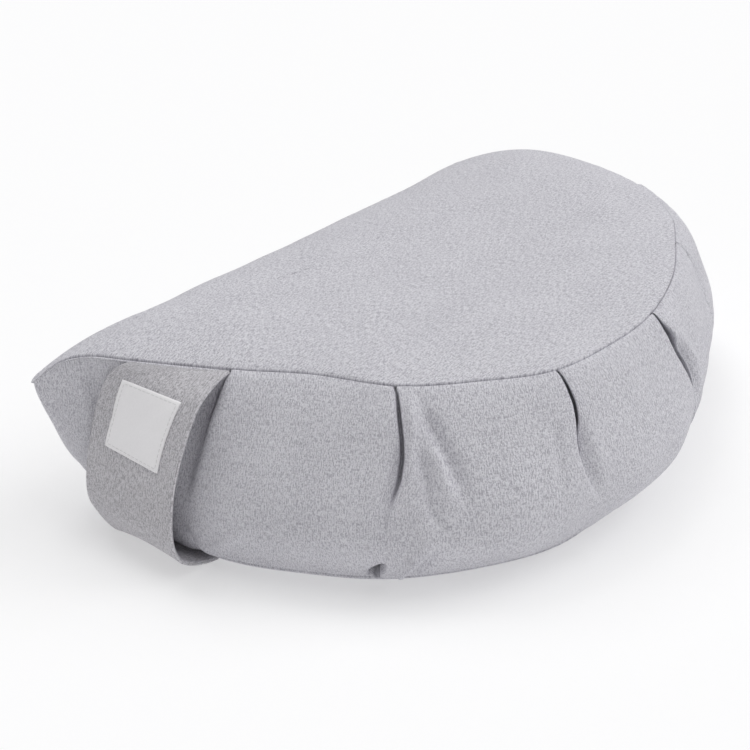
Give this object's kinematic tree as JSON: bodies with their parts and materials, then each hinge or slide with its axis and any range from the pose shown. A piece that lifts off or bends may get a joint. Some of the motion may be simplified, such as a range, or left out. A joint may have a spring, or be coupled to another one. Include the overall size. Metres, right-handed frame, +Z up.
{
  "type": "half-moon floor cushion",
  "caption": "Half-moon filled floor cushion for sitting, with pleats round the curved side, a wide carry strap at one tip and a small blank label on it.",
  "frame": {"origin": "middle of the underside of the whole part's box, on the surface it lies on", "axes": "+X along the straight back edge, away from the tip with the strap; +Z up through the flat underside; the curved pleated side faces -Y"},
  "size_m": [0.4606, 0.2924, 0.1245],
  "materials": {
    "cover_cloth": "woven cotton, two-tone light grey",
    "strap_cloth": "woven cotton, two-tone light grey, folded double",
    "label_cloth": "woven white tape, bare"
  },
  "bodies": {
    "root": {"cushion": "cover_cloth", "carry_strap": "strap_cloth", "label": "label_cloth"}
  },
  "joints": []
}
